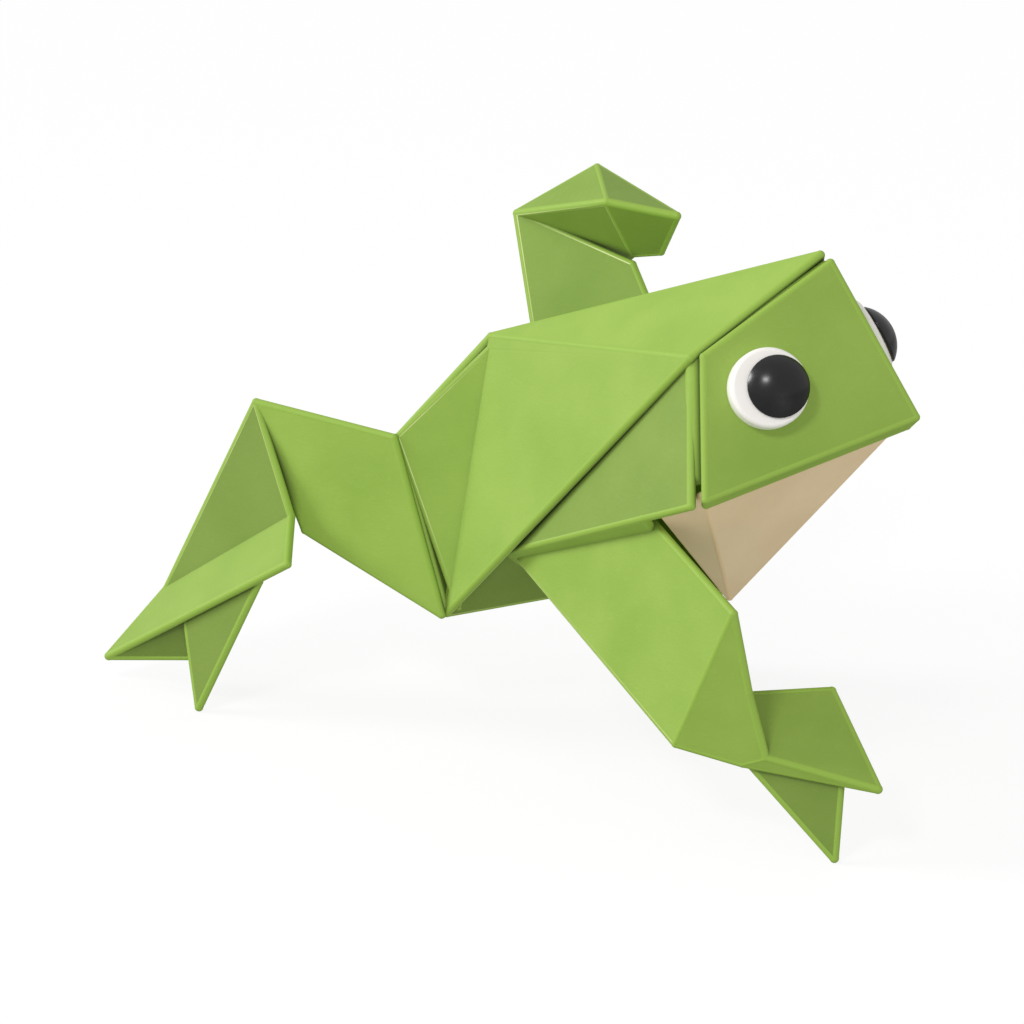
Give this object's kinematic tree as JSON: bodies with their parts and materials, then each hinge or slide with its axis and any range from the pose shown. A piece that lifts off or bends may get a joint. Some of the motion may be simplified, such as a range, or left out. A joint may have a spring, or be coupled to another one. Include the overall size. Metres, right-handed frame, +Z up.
{
  "type": "origami frog",
  "caption": "Frog folded from thick green paper in mid leap, with a tan paper throat and round glued-on paper eyes with glossy half-bead pupils.",
  "frame": {"origin": "on the ground, under the middle of the whole frog", "axes": "+X the way the frog faces, +Y to its left, +Z up"},
  "size_m": [0.1292, 0.0588, 0.0797],
  "materials": {
    "green_paper": "matt",
    "tan_paper": "matt",
    "white_card": "satin",
    "black_bead": "gloss"
  },
  "bodies": {
    "root": {"folded_sheet": "green_paper", "throat": "tan_paper", "eye_white_right": "white_card", "eye_white_left": "white_card", "pupil_right": "black_bead", "pupil_left": "black_bead"}
  },
  "joints": []
}
